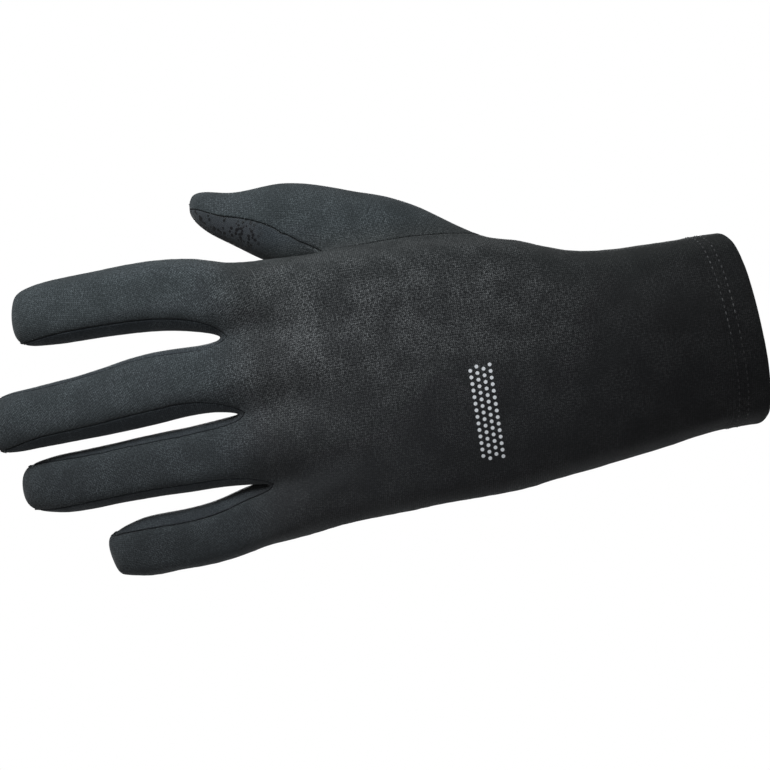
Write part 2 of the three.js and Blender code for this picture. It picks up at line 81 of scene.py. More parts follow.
HEM_ROLL = 1.0 * MM
HEM_PROUD = 0.25 * MM
STITCH_ROWS = (7 * MM, 10.2 * MM)  # from the cuff's edge
STITCH_PITCH = 2.3 * MM
STITCH_SIZE = (1.25 * MM, 0.5 * MM, 0.42 * MM)  # length, width and height
ZIGZAG_SIZE = (0.4 * MM, 0.35 * MM)  # width and height
OUTSIDE_LIFT, INSIDE_LIFT = 1 * MM, -3 * MM  # where the rows are looked for, either side of the cloth
HEM_STEPS = (1.4, 3, 5, 7, 9, 10.7)  # mm back along the inside
HEM_LEAN = 0.02  # how the turned-in cloth draws away from the outer layer

BINDING_SINK = {"seam": 0.62, "side": 0.95}  # mm under the skin, on the seam and beside it
BINDING_WALL = 0.5 * MM

# Soft folds that the hand makes, by where they start and end, in mm along x and z, on the back
# (side -1) or the palm (side 1). Depth is into the cloth, and less than nothing is a swell.
FOLDS = [
    {"side": -1, "x1": -141, "z1": 37, "x2": -128, "z2": 33, "width": 9, "depth": -1.1},
    {"side": -1, "x1": -146, "z1": 14, "x2": -134, "z2": 12, "width": 9, "depth": -1.0},
    {"side": -1, "x1": -146, "z1": -12, "x2": -136, "z2": -12, "width": 8, "depth": -0.6},
    {"side": -1, "x1": -118, "z1": 30, "x2": -108, "z2": 34, "width": 9, "depth": -0.4},
    {"side": -1, "x1": -160, "z1": 28, "x2": -150, "z2": 24, "width": 5, "depth": 0.5},
    {"side": -1, "x1": -156, "z1": 0, "x2": -146, "z2": 1, "width": 5, "depth": 0.5},
    {"side": -1, "x1": -152, "z1": -25, "x2": -142, "z2": -22, "width": 5, "depth": 0.4},
    {"side": -1, "x1": -76, "z1": 40, "x2": -72, "z2": 20, "width": 4, "depth": 0.35},
    {"side": -1, "x1": -66, "z1": 38, "x2": -60, "z2": 14, "width": 4, "depth": 0.3},
    {"side": -1, "x1": -52, "z1": -36, "x2": -46, "z2": -12, "width": 4, "depth": 0.35},
    {"side": -1, "x1": -148, "z1": 60, "x2": -139, "z2": 46, "width": 5, "depth": 0.9},
    {"side": 1, "x1": -118, "z1": 18, "x2": -84, "z2": 6, "width": 5, "depth": 1.0},
    {"side": 1, "x1": -150, "z1": 30, "x2": -126, "z2": -14, "width": 4, "depth": 0.8},
    {"side": 1, "x1": -140, "z1": 44, "x2": -132, "z2": 28, "width": 4, "depth": 0.8},
    {"side": 1, "x1": -62, "z1": -24, "x2": -58, "z2": 24, "width": 4, "depth": 0.6},
    {"side": 1, "x1": -190, "z1": 48, "x2": -190, "z2": 30, "width": 3, "depth": 0.5},
    {"side": 1, "x1": -196, "z1": 20, "x2": -196, "z2": 2, "width": 3, "depth": 0.5},
    {"side": 1, "x1": -190, "z1": -6, "x2": -190, "z2": -24, "width": 3, "depth": 0.5},
    {"side": 1, "x1": -180, "z1": -30, "x2": -180, "z2": -46, "width": 3, "depth": 0.5},
]


def linked(name, mesh):
    made = bpy.data.objects.new(name, mesh)
    bpy.context.scene.collection.objects.link(made)
    return made


def mesh_of(bm, name):
    mesh = bpy.data.meshes.new(name)
    bm.to_mesh(mesh)
    bm.free()
    return mesh


# The outside of the glove, as one skin


def merged_wall(name):
    """A copy of a node's wall, its triangles merged and joined into four-sided faces."""
    bm = bmesh.new()
    bm.from_mesh(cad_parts[name].data)
    bmesh.ops.remove_doubles(bm, verts=bm.verts, dist=WELD)
    bmesh.ops.join_triangles(
        bm,
        faces=bm.faces,
        angle_face_threshold=math.radians(80),
        angle_shape_threshold=math.radians(120),
        topology_influence=1,
    )
    return bm


def is_rim(face, wall):
    """Whether a face crosses the wall's thickness, so that two opposite edges are as long as that."""
    across = [abs(edge.calc_length() - wall) < RIM_SLACK for edge in face.edges]
    return len(across) == 4 and ((across[0] and across[2]) or (across[1] and across[3]))


def walls_met(tree, start, way):
    count = 0
    hit = tree.ray_cast(start, way)[0]
    while hit is not None:
        count += 1
        hit = tree.ray_cast(hit + way * RIM_SLACK, way)[0]
    return count


def connected(bm):
    """The groups of faces that hang together."""
    left, groups = set(bm.faces), []
    while left:
        group, edge = [], [left.pop()]
        while edge:
            face = edge.pop()
            group.append(face)
            near = {f for e in face.edges for f in e.link_faces} & left
            left -= near
            edge += near
        groups.append(group)
    return groups


def keep_outside(bm, wall, tree):
    """Leaves only the skin whose faces look outwards. A ray from inside the hollow still has one wall
    to pass, which is two faces, and any finger behind it is four more."""
    rims = [f for f in bm.faces if is_rim(f, wall)]
    bmesh.ops.delete(bm, geom=rims, context="FACES")
    for group in connected(bm):
        inside = 0
        for face in group:
            start = face.calc_center_median() + face.normal * RAY_START
            inside += 1 if walls_met(tree, start, face.normal) % 4 == 2 else -1
        if inside > 0:
            bmesh.ops.delete(bm, geom=group, context="FACES")


def smoothed(mesh, levels):
    coarse = linked("coarse", mesh)
    finer = coarse.modifiers.new("smooth", "SUBSURF")
    finer.levels = finer.render_levels = levels
    graph = bpy.context.evaluated_depsgraph_get()
    seen = coarse.evaluated_get(graph)
    fine = bpy.data.meshes.new_from_object(seen, preserve_all_data_layers=True, depsgraph=graph)
    bpy.data.objects.remove(coarse)
    return fine


def is_seam(edge):
    numbers = {f.material_index for f in edge.link_faces}
    return len(numbers) == 2 and numbers not in SAME_CLOTH


def lay_flat(mesh):
    """Lays the panels out flat, as they were cut, in the map called cloth."""
    net = linked("net", mesh)
    mesh.uv_layers.new(name="cloth")
    bpy.context.view_layer.objects.active = net
    net.select_set(True)
    bpy.ops.object.mode_set(mode="EDIT")
    bpy.ops.mesh.select_all(action="SELECT")
    bpy.ops.uv.unwrap(method="MINIMUM_STRETCH", margin=0.01, iterations=UNWRAP_STEPS, no_flip=True)
    bpy.ops.object.mode_set(mode="OBJECT")
    bpy.data.objects.remove(net)


def line_up(part, flat):
    """Turns and sizes a flat part of the map to the cloth's own mm, its x along the hand."""
    turn, real_length, flat_length = 0, 0, 0
    for face in part:
        across = face.normal.cross(Vector((1, 0, 0)))
        ahead = across.cross(face.normal)
        for loop in face.loops:
            real = loop.link_loop_next.vert.co - loop.vert.co
            step = loop.link_loop_next[flat].uv - loop[flat].uv
            real_length += real.length
            flat_length += step.length
            if across.length > 0.3 and step.length > 0:
                way = complex(real.dot(ahead), real.dot(across)) / complex(step.x, step.y)
                turn += (way * step.length_squared) ** 2
    fit = cmath.rect(real_length / flat_length / MM, cmath.phase(turn) / 2)
    for face in part:
        for loop in face.loops:
            moved = complex(*loop[flat].uv) * fit
            loop[flat].uv = (moved.real, moved.imag)


def glove_skin():
    """The outside of all the panels, welded at the seams, laid out flat and smoothed."""
    walls = bmesh.new()
    for name in PANELS:
        walls.from_mesh(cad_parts[name].data)
    tree = BVHTree.FromBMesh(walls)
    walls.free()
    skin = bmesh.new()
    for name, panel in PANELS.items():
        part = merged_wall(name)
        keep_outside(part, panel["wall"], tree)
        for face in part.faces:
            face.material_index = panel["number"]
            middle = face.calc_center_median()
            if name == "cuff_hem" and middle.y > PALM_FROM:
                face.material_index = HEM_PALM
        skin.from_mesh(mesh_of(part, name))
    for reach in (SEAM_REACH, CORNER_REACH):
        edge = [v for v in skin.verts if v.is_boundary]
        bmesh.ops.remove_doubles(skin, verts=edge, dist=reach)
    for edge in skin.edges:
        edge.seam = is_seam(edge)
    mesh = mesh_of(skin, "skin")
    for _ in range(HEM_PALM + 1):
        mesh.materials.append(None)
    lay_flat(mesh)
    fine = bmesh.new()
    fine.from_mesh(smoothed(mesh, SMOOTH_LEVELS))
    fine.normal_update()
    flat = fine.loops.layers.uv["cloth"]
    for cloth in SAME_CLOTH + ({2}, {3}, {4}, {5}):
        line_up([f for f in fine.faces if f.material_index in cloth], flat)
    return fine


# Folds, and the hem turned in


def fold_lift(point, normal):
    total = 0
    for fold in FOLDS:
        if normal.y * fold["side"] <= 0:
            continue
        start = Vector((fold["x1"], fold["z1"]))
        along = Vector((fold["x2"], fold["z2"])) - start
        off = Vector((point.x / MM, point.z / MM)) - start
        share = max(0, min(1, off.dot(along) / along.length_squared))
        away = (off - along * share).length / fold["width"]
        if away > 3:
            continue
        shape = math.exp(-away * away) - 0.35 * math.exp(-((away - 1.7) ** 2))
        total -= fold["depth"] * MM * shape * min(1, abs(normal.y) * 2)
    return total


def ripple_lift(point, seam_near):
    slow = noise.noise(point / (24 * MM))
    middle = noise.noise(Vector((point.x / 9, point.y / 14, point.z / 14)) / MM)
    small = noise.noise(point / (2.6 * MM) + Vector((7, 3, 5)))
    pucker = noise.noise(Vector((point.x / 2.2, point.y / 5, point.z / 5)) / MM)
    total = RIPPLES["slow"] * slow + RIPPLES["middle"] * middle + RIPPLES["small"] * small
    return (total + RIPPLES["pucker"] * pucker * seam_near) * MM


def mark_seams(skin):
    """Tags the seams' edges, and gives each point how near it is to one, from 0 to 1."""
    tag = skin.edges.layers.int.new("seam")
    near = skin.verts.layers.float.new("seam_near")
    spots = []
    for edge in skin.edges:
        if is_seam(edge):
            edge[tag] = 1
            a, b = edge.verts
            spots += [a.co.lerp(b.co, share) for share in (0.1, 0.37, 0.63, 0.9)]
    tree = KDTree(len(spots))
    for index, spot in enumerate(spots):
        tree.insert(spot, index)
    tree.balance()
    for vert in skin.verts:
        vert[near] = math.exp(-tree.find(vert.co)[2] / SEAM_FADE)


def crumple(skin):
    near = skin.verts.layers.float["seam_near"]
    skin.normal_update()
    moves = {}
    for vert in skin.verts:
        lift = SHRINK + fold_lift(vert.co, vert.normal) + ripple_lift(vert.co, vert[near])
        numbers = {f.material_index for f in vert.link_faces}
        if numbers & {HEM_BACK, HEM_PALM}:
            lift += HEM_PROUD if numbers <= {HEM_BACK, HEM_PALM} else HEM_PROUD * 0.5
        moves[vert] = vert.normal * lift
    for vert, move in moves.items():
        vert.co += move
    skin.normal_update()


def carry_map(face, fresh, flat):
    """Goes on with the map over a face extruded from its neighbour, along the hand."""
    for loop in face.loops:
        start = loop if loop.vert not in fresh else loop.link_loop_next
        if start.vert in fresh:
            start = loop.link_loop_prev
        older = (o for o in start.vert.link_loops if not any(v in fresh for v in o.face.verts))
        known = next(o for o in older if any(face in e.link_faces for e in o.face.edges))
        gap = (loop.vert.co - start.vert.co).length / MM
        loop[flat].uv = (known[flat].uv.x + gap, known[flat].uv.y)


def turn_in_hem(skin):
    """Rolls the cuff's edge in and brings it back along the inside, and gives the edge's places."""
    flat = skin.loops.layers.uv["cloth"]
    edges = [e for e in skin.edges if e.is_boundary]
    places = {}
    for edge in edges:
        for vert in edge.verts:
            inner = [e.other_vert(vert) for e in vert.link_edges if not e.is_boundary]
            out = (vert.co - inner[0].co).normalized()
            normal = (vert.normal - out * vert.normal.dot(out)).normalized()
            places[vert] = (vert.co.copy(), normal, out)
    cuff = list(places.values())
    tag = skin.edges.layers.int["seam"]
    on_seam = {v for v in places if any(e[tag] for e in v.link_edges)}
    steps = [(HEM_ROLL, math.radians(turn), 0) for turn in range(30, 181, 30)]
    steps += [(HEM_ROLL, math.pi, depth * MM) for depth in HEM_STEPS]
    for roll, turn, depth in steps:
        made = bmesh.ops.extrude_edge_only(skin, edges=edges)["geom"]
        fresh = [v for v in made if isinstance(v, bmesh.types.BMVert)]
        moved = {}
        for vert in fresh:
            start = next(e.other_vert(vert) for e in vert.link_edges if e.other_vert(vert) in places)
            place, normal, out = moved[vert] = places[start]
            lean = normal * (math.cos(turn) - 1) + out * math.sin(turn)
            vert.co = place + lean * roll - out * depth - normal * (depth * HEM_LEAN)
            if start in on_seam:
                on_seam.add(vert)
                next(e for e in vert.link_edges if e.other_vert(vert) is start)[tag] = 1
        for face in (f for f in made if isinstance(f, bmesh.types.BMFace)):
            carry_map(face, moved, flat)
        places = moved
        edges = [e for e in made if isinstance(e, bmesh.types.BMEdge)]
    return cuff


skin = glove_skin()
mark_seams(skin)
crumple(skin)
cuff_edge = turn_in_hem(skin)

# Pieces cut from the skin


def cut_piece(name, numbers):
    """Cuts the faces of these numbers from the skin, sinks the edges at the seams and adds a wall."""
    bm = skin.copy()
    tag = bm.edges.layers.int["seam"]
    others = [f for f in bm.faces if f.material_index not in numbers]
    bmesh.ops.delete(bm, geom=others, context="FACES")
    bmesh.ops.split_edges(bm, edges=[e for e in bm.edges if e[tag] and not e.is_boundary])
    edge = {v for e in bm.edges if e[tag] and e.is_boundary for v in e.verts}
    bmesh.ops.inset_region(
        bm,
        faces=bm.faces,
        use_boundary=True,
        use_even_offset=True,
        use_interpolate=True,
        thickness=SEAM_ROLL,
        depth=0,
    )
    bm.normal_update()
    moves = {}
    for vert in edge:
        inner = [e.other_vert(vert) for e in vert.link_edges if not e.is_boundary]
        if len(inner) == 1:
            reach = inner[0].co - vert.co
            share = CORNER_OPEN if reach.length > SHARP_CORNER * SEAM_ROLL else SEAM_OPEN
            moves[vert] = vert.co.lerp(inner[0].co, share) - inner[0].normal * SEAM_SINK
    for vert, place in moves.items():
        vert.co = place
    for face in bm.faces:
        face.material_index = 0
        face.smooth = True
    piece = linked(name, mesh_of(bm, name))
    wall = piece.modifiers.new("wall", "SOLIDIFY")
    wall.thickness = CLOTH
    wall.offset = -1
    return piece


back = cut_piece("back_cloth", {0})
palm = cut_piece("palm_cloth", {1})
thumb = cut_piece("thumb_cloth", {2})
strips = [
    cut_piece("strip_index_middle", {3}),
    cut_piece("strip_middle_ring", {4}),
    cut_piece("strip_ring_little", {5}),
]
hem = cut_piece("hem_cloth", {HEM_BACK, HEM_PALM})


def inside_seams():
    """The cloth's cut edges, bound together along each seam on the inside."""
    bm = skin.copy()
    tag = bm.edges.layers.int["seam"]
    on_seam = {v for e in bm.edges if e[tag] for v in e.verts}
    others = [f for f in bm.faces if not on_seam.intersection(f.verts)]
    bmesh.ops.delete(bm, geom=others, context="FACES")
    moves = {}
    for vert in bm.verts:
        sink = BINDING_SINK["seam" if vert in on_seam else "side"]
        moves[vert] = vert.co - vert.normal * sink * MM
    for vert, place in moves.items():
        vert.co = place
    for face in bm.faces:
        face.material_index = 0
        face.smooth = True
    binding = linked("inside_seams", mesh_of(bm, "inside_seams"))
    wall = binding.modifiers.new("wall", "SOLIDIFY")
    wall.thickness = BINDING_WALL
    wall.offset = -1
    return binding


bound_edges = inside_seams()

# Twin stitching round the cuff


def row_of_places(depth, lift):
    """Evenly spaced places, normals and ways on the cuff's cloth, at a depth from its edge."""
    surface = BVHTree.FromBMesh(skin)
    centre = sum((place for place, _, _ in cuff_edge), Vector()) / len(cuff_edge)
    ring = sorted(cuff_edge, key=lambda spot: math.atan2(spot[0].y - centre.y, spot[0].z - centre.z))
    line = [surface.find_nearest(p + n * lift - out * depth)[0] for p, n, out in ring]
    lengths = [(b - a).length for a, b in zip(line, line[1:] + line[:1])]
    count = round(sum(lengths) / STITCH_PITCH)
    pitch, places, at, walked = sum(lengths) / count, [], 0, 0
    for number in range(count):
        while walked + lengths[at] < number * pitch:
            walked += lengths[at]
            at += 1
        start, end = line[at], line[(at + 1) % len(line)]
        spot = start.lerp(end, (number * pitch - walked) / lengths[at])
        places.append((spot, ring[at][1], (end - start).normalized()))
    return places


def stitch(bm, place, normal, way, length, width, height):
    """Adds one bead of thread that lies along the way given."""
    side = normal.cross(way).normalized()
    up = way.cross(side)
    turned = Matrix((way * length, side * width, up * height)).transposed().to_4x4()
    at = Matrix.Translation(place) @ turned
    bmesh.ops.create_uvsphere(bm, u_segments=8, v_segments=6, radius=0.5, matrix=at)


def stitching():
    """Two rows of stitches outside, and inside the zigzag that joins them."""
    bm = bmesh.new()
    for depth in STITCH_ROWS:
        for place, normal, way in row_of_places(depth, OUTSIDE_LIFT):
            stitch(bm, place, normal, way, *STITCH_SIZE)
    rows = [row_of_places(depth, INSIDE_LIFT) for depth in STITCH_ROWS]
    for number, (place, normal, way) in enumerate(rows[0]):
        there = rows[1][number % len(rows[1])][0]
        back_again = rows[0][(number + 1) % len(rows[0])][0]
        for start, end in ((place, there), (there, back_again)):
            step = end - start
            middle = start.lerp(end, 0.5)
            stitch(bm, middle, -normal, step.normalized(), step.length, *ZIGZAG_SIZE)
    for face in bm.faces:
        face.smooth = True
    return linked("hem_stitches", mesh_of(bm, "hem_stitches"))


stitches = stitching()

# Materials


def sockets(tree, way, wanted):
    for name, kind, value in wanted:
        made = tree.interface.new_socket(name, in_out=way, socket_type=kind)
        if value is not None:
            made.default_value = value


class Nodes:
    """Short calls for one node tree: each takes values or other nodes' outputs."""

    def __init__(self, tree):
        self.tree = tree
        self.count = 0

    def add(self, kind, **settings):
        node = self.tree.nodes.new(kind)
        node.location = (self.count * 180, 0)
        self.count += 1
        for name, value in settings.items():
            setattr(node, name, value)
        return node

    def put(self, socket, value):
        if isinstance(value, bpy.types.NodeSocket):
            self.tree.links.new(value, socket)
        elif value is not None:
            socket.default_value = value

    def math(self, operation, a, b=None, c=None):
        node = self.add("ShaderNodeMath", operation=operation)
        for socket, value in zip(node.inputs, (a, b, c)):
            self.put(socket, value)
        return node.outputs[0]

    def range(self, value, low, high, to_low=0.0, to_high=1.0):
        node = self.add("ShaderNodeMapRange", interpolation_type="SMOOTHSTEP")
        for name, given in (
            ("Value", value),
            ("From Min", low),
            ("From Max", high),
            ("To Min", to_low),
            ("To Max", to_high),
        ):
            self.put(node.inputs[name], given)
        return node.outputs["Result"]

    def noise(self, place, scale, detail=2.0, roughness=0.5):
        node = self.add("ShaderNodeTexNoise")
        self.put(node.inputs["Vector"], place)
        self.put(node.inputs["Scale"], scale)
        self.put(node.inputs["Detail"], detail)
        self.put(node.inputs["Roughness"], roughness)
        return node.outputs["Fac"]

    def mix(self, share, a, b):
        node = self.add("ShaderNodeMix", data_type="RGBA")
        self.put(node.inputs["Factor"], share)
        self.put(node.inputs[6], a)
        self.put(node.inputs[7], b)
        return node.outputs[2]


def knit_group():
    """Plain jersey from a map in mm: slanted loops in wales along x."""
    tree = bpy.data.node_groups.new("jersey_knit", "ShaderNodeTree")
    sockets(
        tree,
        "INPUT",
        [
            ("Cloth", "NodeSocketVector", None),
            ("Wale Width", "NodeSocketFloat", 0.82),
            ("Loop Length", "NodeSocketFloat", 0.64),
            ("Slant", "NodeSocketFloat", 0.55),
            ("Unevenness", "NodeSocketFloat", 0.12),
        ],
    )
    sockets(
        tree,
        "OUTPUT",
        [
            ("Height", "NodeSocketFloat", None),
            ("Loop", "NodeSocketFloat", None),
            ("Each Loop", "NodeSocketFloat", None),
        ],
    )
    n = Nodes(tree)
    given = n.add("NodeGroupInput").outputs
    split = n.add("ShaderNodeSeparateXYZ")
    n.put(split.inputs[0], given["Cloth"])
    drift = n.math("SUBTRACT", n.noise(given["Cloth"], 0.12), 0.5)
    sway = n.math("MULTIPLY", drift, given["Unevenness"])
    even = n.math("DIVIDE", split.outputs["Y"], given["Wale Width"])
    wales = n.math("ADD", even, n.math("MULTIPLY", sway, 6))
    across = n.math("ABSOLUTE", n.math("MULTIPLY_ADD", n.math("FRACT", wales), 2, -1))
    run = n.math("DIVIDE", split.outputs["X"], given["Loop Length"])
    slanted = n.math("MULTIPLY_ADD", across, given["Slant"], run)
    courses = n.math("ADD", slanted, n.math("MULTIPLY", sway, 4))
    swing = n.math("MULTIPLY_ADD", n.math("FRACT", courses), 2, -1)
    up = n.math("SUBTRACT", 1, n.math("ABSOLUTE", swing))
    loop = n.math("POWER", up, 0.6)
    between = n.math("POWER", across, 4)
    middle = n.math("POWER", n.math("SUBTRACT", 1, across), 4)
    sunk = n.math("MULTIPLY_ADD", between, 0.75, n.math("MULTIPLY", middle, 0.35))
    height = n.math("SUBTRACT", loop, sunk)
    cell = n.add("ShaderNodeCombineXYZ")
    n.put(cell.inputs["X"], n.math("FLOOR", courses))
    n.put(cell.inputs["Y"], n.math("FLOOR", wales))
    each = n.add("ShaderNodeTexWhiteNoise", noise_dimensions="2D")
    n.put(each.inputs["Vector"], cell.outputs[0])
    out = n.add("NodeGroupOutput")
    n.put(out.inputs["Height"], height)
    n.put(out.inputs["Loop"], n.math("MAXIMUM", height, 0))
    n.put(out.inputs["Each Loop"], each.outputs["Value"])
    return tree


KNIT = knit_group()
DOT_PITCH = 2.2 * MM

# Boxes on the glove, in mm, and how softly each ends
DOT_BOX = {"low": (-95, None, -30), "high": (-86, -10, 2), "soft": 0.05}
GRIP_BOX = {"low": (None, None, 52), "high": (-157, None, None), "soft": 3}
# Painted shade: the lower side of the hand towards the cuff
LOWER_BOX = {"low": (-122, None, None), "high": (None, None, 2), "soft": 16}
# Painted shade and glints: the back of the hand, where the ground is darkened and the flecks stand out
GLINT_AND_SHADE_BOX = {"low": (-176, None, -10), "high": (-60, -6, 52), "soft": 22}

# Where the cloth's painted light and shade start to change along x or z, and where they have changed:
# lighter and cooler on the fingers and thumb side and greener on the upper side, where the light
# falls, painted shade towards the underside, and thread painted paler towards the top
FINGERS_X = (-158 * MM, -182 * MM)
THUMB_Z = (46 * MM, 58 * MM)
GREEN_Z = (16 * MM, 40 * MM)
UNDER_Z = (26 * MM, -26 * MM)
THREAD_LIGHT_Z = (-16 * MM, 18 * MM)
# How much of each painted light and shade is mixed into the cloth
TONE_SHARE = {"green": 0.7, "cool": 0.85, "under": 0.5, "lower": 0.5, "drawn": 0.72}

CLOTH_SHINE = {
    "Specular IOR Level": 0.12,
    "Sheen Weight": 0.05,
    "Sheen Roughness": 0.4,
    "Sheen Tint": (0.9, 0.9, 0.9, 1),
}
THREAD_SHINE = {"Specular IOR Level": 0.25}
CLOTH_RELIEF = {"Strength": 0.5, "Distance": 0.15 * MM}
THREAD_RELIEF = {"Strength": 0.4, "Distance": 0.06 * MM}


def mask_box(n, place, low, high, soft):
    """1 inside a box in mm, fading over its edge."""
    split = n.add("ShaderNodeSeparateXYZ")
    n.put(split.inputs[0], place)
    inside = None
    for socket, least, most in zip(split.outputs, low, high):
        for edge, start, end in ((least, 0.0, 1.0), (most, 1.0, 0.0)):
            if edge is None:
                continue
            band = n.range(socket, (edge - soft) * MM, (edge + soft) * MM, start, end)
            inside = band if inside is None else n.math("MULTIPLY", inside, band)
    return inside


def dot_print(n, place, cloth, base, roughness, relief):
    """A small patch of pale printed dots on the back of the hand."""
    split = n.add("ShaderNodeSeparateXYZ")
    n.put(split.inputs[0], place)
    row = n.math("DIVIDE", split.outputs["X"], DOT_PITCH)
    row_number = n.math("FLOOR", row)
    shift = n.math("MULTIPLY", n.math("FLOORED_MODULO", row_number, 2), 0.5)
    column = n.math("ADD", n.math("DIVIDE", split.outputs["Z"], DOT_PITCH), shift)
    column_number = n.math("FLOOR", column)
    across = n.math("SUBTRACT", n.math("FRACT", row), 0.5)
    along = n.math("SUBTRACT", n.math("FRACT", column), 0.5)
    squares = n.math("ADD", n.math("MULTIPLY", across, across), n.math("MULTIPLY", along, along))
    away = n.math("SQRT", squares)
    middle = n.add("ShaderNodeCombineXYZ")
    n.put(middle.inputs["X"], n.math("MULTIPLY", n.math("ADD", row_number, 0.5), DOT_PITCH))
    n.put(middle.inputs["Y"], split.outputs["Y"])
    off = n.math("SUBTRACT", n.math("ADD", column_number, 0.5), shift)
    n.put(middle.inputs["Z"], n.math("MULTIPLY", off, DOT_PITCH))
    patch = mask_box(n, middle.outputs[0], **DOT_BOX)
    dot = n.math("MULTIPLY", n.range(away, 0.24, 0.32, 1.0, 0.0), patch)
    grain = n.range(n.noise(place, 2600, 2), 0.3, 0.7, 0.75, 1.0)
    paint = n.mix(grain, WORN_PRINT, FRESH_PRINT)
    base = n.mix(dot, base, paint)
    roughness = n.math("MULTIPLY_ADD", dot, -0.35, roughness)
    filled = n.math("MULTIPLY", relief, n.math("MULTIPLY_ADD", dot, -0.7, 1))
    relief = n.math("MULTIPLY_ADD", dot, 0.8, filled)
    return base, roughness, relief


def grip_print(n, place, cloth, base, roughness, relief):
    """Small dark rubber grains near the thumb's tip. The box also takes in the index finger's upper
    edge on the palm side, where they show faintly."""
    cells = n.add("ShaderNodeTexVoronoi", feature="F1")
    n.put(cells.inputs["Vector"], cloth)
    n.put(cells.inputs["Scale"], 0.62)
    grain = n.range(cells.outputs["Distance"], 0.33, 0.47, 1.0, 0.0)
    some = n.range(n.noise(cloth, 0.45, 1), 0.24, 0.38)
    tip = mask_box(n, place, **GRIP_BOX)
    grain = n.math("MULTIPLY", n.math("MULTIPLY", grain, some), tip)
    base = n.mix(n.math("MULTIPLY", tip, 0.6), base, RUBBER_GROUND)
    base = n.mix(grain, base, RUBBER)
    roughness = n.math("MULTIPLY_ADD", grain, -0.4, roughness)
    relief = n.math("MULTIPLY_ADD", grain, 0.9, relief)
    return base, roughness, relief


def new_material(name):
    material = bpy.data.materials.new(name)
    material.use_nodes = True
    material.node_tree.nodes.clear()
    return material


def finish_shader(n, base, roughness, shine, height, relief):
    """Joins a material's colour, roughness and height to its shader and output."""
    bump = n.add("ShaderNodeBump")
    n.put(bump.inputs["Height"], height)
    shader = n.add("ShaderNodeBsdfPrincipled")
    n.put(shader.inputs["Base Color"], base)
    n.put(shader.inputs["Roughness"], roughness)
    n.put(shader.inputs["Normal"], bump.outputs[0])
    for node, values in ((bump, relief), (shader, shine)):
        for socket, value in values.items():
            n.put(node.inputs[socket], value)
    out = n.add("ShaderNodeOutputMaterial")
    n.put(out.inputs["Surface"], shader.outputs[0])


def jersey(name, dark, light, tint, printed=None):
    """Dark stretch jersey of random tone and pale knit flecks, with painted light and shade by place:
    lighter, cooler and greener where the light falls, painted shade towards the underside, the lower
    side and along the seams, and on the back of the hand a darker ground with painted glints on the
    loops.
    """
    material = new_material(name)
    n = Nodes(material.node_tree)
    cloth = n.add("ShaderNodeUVMap", uv_map="cloth").outputs[0]
    place = n.add("ShaderNodeTexCoord").outputs["Object"]
    near = n.add("ShaderNodeAttribute", attribute_name="seam_near").outputs["Fac"]
    knit = n.add("ShaderNodeGroup")
    knit.node_tree = KNIT
    n.put(knit.inputs["Cloth"], cloth)
    split = n.add("ShaderNodeSeparateXYZ")
    n.put(split.inputs[0], place)
    # Painted light: a lighter, cooler tone on the fingers and the thumb side, where the key light
    # falls
    fingers = n.range(split.outputs["X"], *FINGERS_X)
    thumb_side = n.range(split.outputs["Z"], *THUMB_Z)
    cool = n.math("MAXIMUM", fingers, thumb_side)
    # Painted light: a greener, lighter tone on the upper side, where the light falls
    green = n.range(split.outputs["Z"], *GREEN_Z)
    tone = n.noise(place, 45, 2, 0.5)
    base = n.mix(n.range(tone, 0.35, 0.65), dark, light)
    base = n.mix(n.math("MULTIPLY", green, TONE_SHARE["green"]), base, MOSS)
    base = n.mix(n.math("MULTIPLY", cool, TONE_SHARE["cool"]), base, tint)
    # Painted shade: the cloth is darker towards its underside, away from the light above, with fewer
    # pale flecks there
    under = n.range(split.outputs["Z"], *UNDER_Z)
    base = n.mix(n.math("MULTIPLY", under, TONE_SHARE["under"]), base, PAINTED_SHADE_BLACK)
    # Painted shade on the lower side of the hand towards the cuff
    lower = mask_box(n, place, **LOWER_BOX)
    base = n.mix(n.math("MULTIPLY", lower, TONE_SHARE["lower"]), base, PAINTED_SHADE_BLACK)
    # Painted shade and painted glints on the back of the hand: the ground is darkened and the pale
    # flecks made stronger, less so over the lower side
    drawn = mask_box(n, place, **GLINT_AND_SHADE_BOX)
    drawn = n.math("MULTIPLY", drawn, n.math("MULTIPLY_ADD", lower, -0.85, 1))
    base = n.mix(n.math("MULTIPLY", drawn, TONE_SHARE["drawn"]), base, PAINTED_SHADE_BLACK)
    stretched = n.add("ShaderNodeVectorMath", operation="MULTIPLY")
    n.put(stretched.inputs[0], cloth)
    n.put(stretched.inputs[1], (1.25, 2.1, 1))
    fine = n.range(n.noise(stretched.outputs[0], 1.0, 2, 0.6), 0.38, 0.6, 0.05, 1.0)
    specks = n.math("MULTIPLY", n.range(knit.outputs["Each Loop"], 0.0, 1.0, 0.6, 1.0), fine)
    patchy = n.range(n.noise(cloth, 0.08, 3, 0.6), 0.36, 0.64, 0.5, 1.0)
    # The pale flecks are partly the knit's own light specks everywhere and partly painted glints of
    # light, more on the fingers, thumb side and back of the hand
    fleck_and_glint_share = n.math("MULTIPLY_ADD", drawn, 0.5, n.math("MULTIPLY_ADD", cool, 0.2, 0.26))
    lit = n.math("MULTIPLY", n.math("MULTIPLY", knit.outputs["Loop"], specks), patchy)
    lit = n.math("MULTIPLY", lit, n.math("MULTIPLY_ADD", under, -0.3, 1))
    base = n.mix(n.math("MULTIPLY", lit, fleck_and_glint_share), base, n.mix(cool, WARM_FLECK, FLECK))
    # Painted shade along the seams' grooves
    shade = n.range(near, 0.76, 0.97, 0.0, 0.5)
    base = n.mix(shade, base, PAINTED_SHADE_BLACK)
    fuzz = n.noise(cloth, 5.5, 3, 0.7)
    relief = n.math("MULTIPLY_ADD", fuzz, 0.35, knit.outputs["Height"])
    roughness = n.range(knit.outputs["Loop"], 0, 1, 0.95, 0.85)
    if printed:
        base, roughness, relief = printed(n, place, cloth, base, roughness, relief)
    finish_shader(n, base, roughness, CLOTH_SHINE, relief, CLOTH_RELIEF)
    return material


